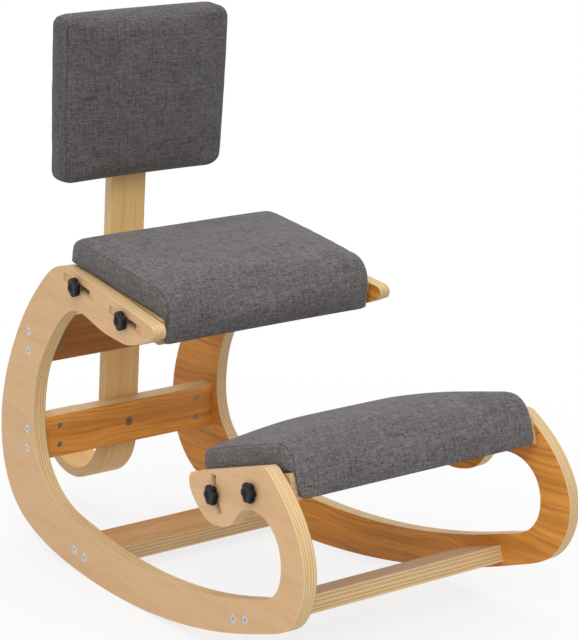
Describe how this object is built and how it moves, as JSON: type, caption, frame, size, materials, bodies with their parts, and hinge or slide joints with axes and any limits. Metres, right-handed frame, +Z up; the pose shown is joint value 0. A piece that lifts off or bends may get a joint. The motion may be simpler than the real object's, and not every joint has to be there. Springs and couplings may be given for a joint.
{
  "type": "rocking kneeling chair",
  "caption": "Rocking kneeling chair: curved plywood side frames, sliding seat, tilting knee pad and a cushioned backrest on a bentwood post.",
  "frame": {"origin": "middle of the footprint's bounding box, on the floor under the rocking edges' lowest points", "axes": "+Z up, the sitter faces -Y and +X is the sitter's left"},
  "size_m": [0.5066, 0.9828, 0.8447],
  "materials": {
    "side_ply": "satin",
    "bar_ply": "satin",
    "bentwood": "satin",
    "base_wood": "matte",
    "grey_weave": "matte",
    "zinc_steel": "satin",
    "black_knob": "satin"
  },
  "bodies": {
    "frame": {"left_side_frame": "side_ply", "right_side_frame": "side_ply", "back_post": "bentwood", "backrest_board": "base_wood", "backrest_cushion": "grey_weave", "backrest_screws": "zinc_steel", "post_bolts": "zinc_steel", "post_nuts": "zinc_steel", "upper_crossbar": "bar_ply", "upper_crossbar_left_bolts": "zinc_steel", "upper_crossbar_right_bolts": "zinc_steel", "upper_crossbar_barrel_nuts": "zinc_steel", "middle_crossbar": "bar_ply", "middle_crossbar_left_bolts": "zinc_steel", "middle_crossbar_right_bolts": "zinc_steel", "middle_crossbar_barrel_nuts": "zinc_steel", "rear_floor_bar": "bar_ply", "rear_floor_bar_left_bolts": "zinc_steel", "rear_floor_bar_right_bolts": "zinc_steel", "rear_floor_bar_barrel_nuts": "zinc_steel", "front_floor_bar": "bar_ply", "front_floor_bar_left_bolts": "zinc_steel", "front_floor_bar_right_bolts": "zinc_steel", "front_floor_bar_barrel_nuts": "zinc_steel"},
    "seat": {"seat_cushion": "grey_weave", "seat_board": "base_wood", "seat_left_cleat": "base_wood", "seat_right_cleat": "base_wood", "seat_rails": "base_wood", "seat_inserts": "zinc_steel"},
    "knee_pad": {"knee_cushion": "grey_weave", "knee_board": "base_wood", "knee_left_cleat": "base_wood", "knee_right_cleat": "base_wood", "knee_rails": "base_wood", "knee_inserts": "zinc_steel"},
    "seat_front_right_knob_body": {"seat_front_right_knob": "black_knob", "seat_front_right_knob_stud": "zinc_steel"},
    "seat_rear_right_knob_body": {"seat_rear_right_knob": "black_knob", "seat_rear_right_knob_stud": "zinc_steel"},
    "knee_pivot_right_knob_body": {"knee_pivot_right_knob": "black_knob", "knee_pivot_right_knob_stud": "zinc_steel"},
    "knee_clamp_right_knob_body": {"knee_clamp_right_knob": "black_knob", "knee_clamp_right_knob_stud": "zinc_steel"},
    "seat_front_left_knob_body": {"seat_front_left_knob": "black_knob", "seat_front_left_knob_stud": "zinc_steel"},
    "seat_rear_left_knob_body": {"seat_rear_left_knob": "black_knob", "seat_rear_left_knob_stud": "zinc_steel"},
    "knee_pivot_left_knob_body": {"knee_pivot_left_knob": "black_knob", "knee_pivot_left_knob_stud": "zinc_steel"},
    "knee_clamp_left_knob_body": {"knee_clamp_left_knob": "black_knob", "knee_clamp_left_knob_stud": "zinc_steel"}
  },
  "joints": [
    {"name": "seat_slide", "type": "slide", "parent": "frame", "child": "seat", "axis": [0, 0.9863, 0.165], "range_m": [-0.025, 0.025]},
    {"name": "knee_tilt", "type": "hinge", "parent": "frame", "child": "knee_pad", "pos_m": [0, -0.36532, 0.263], "axis": [1, 0, 0], "range_deg": [-12.5, 12.5]},
    {"name": "seat_front_right_knob_turn", "type": "hinge", "parent": "seat", "child": "seat_front_right_knob_body", "pos_m": [-0.21218, -0.02168, 0.432], "axis": [-0.9963, 0.0854, 0], "continuous": true},
    {"name": "seat_rear_right_knob_turn", "type": "hinge", "parent": "seat", "child": "seat_rear_right_knob_body", "pos_m": [-0.20039, 0.1159, 0.45511], "axis": [-0.9963, 0.0854, 0], "continuous": true},
    {"name": "knee_pivot_right_knob_turn", "type": "hinge", "parent": "knee_pad", "child": "knee_pivot_right_knob_body", "pos_m": [-0.24156, -0.36442, 0.263], "axis": [-0.9963, 0.0854, 0], "continuous": true},
    {"name": "knee_clamp_right_knob_turn", "type": "hinge", "parent": "knee_pad", "child": "knee_clamp_right_knob_body", "pos_m": [-0.23329, -0.26789, 0.23448], "axis": [-0.9963, 0.0854, 0], "continuous": true},
    {"name": "seat_front_left_knob_turn", "type": "hinge", "parent": "seat", "child": "seat_front_left_knob_body", "pos_m": [0.21218, -0.02168, 0.432], "axis": [0.9963, 0.0854, 0], "continuous": true},
    {"name": "seat_rear_left_knob_turn", "type": "hinge", "parent": "seat", "child": "seat_rear_left_knob_body", "pos_m": [0.20039, 0.1159, 0.45511], "axis": [0.9963, 0.0854, 0], "continuous": true},
    {"name": "knee_pivot_left_knob_turn", "type": "hinge", "parent": "knee_pad", "child": "knee_pivot_left_knob_body", "pos_m": [0.24156, -0.36442, 0.263], "axis": [0.9963, 0.0854, 0], "continuous": true},
    {"name": "knee_clamp_left_knob_turn", "type": "hinge", "parent": "knee_pad", "child": "knee_clamp_left_knob_body", "pos_m": [0.23329, -0.26789, 0.23448], "axis": [0.9963, 0.0854, 0], "continuous": true}
  ]
}
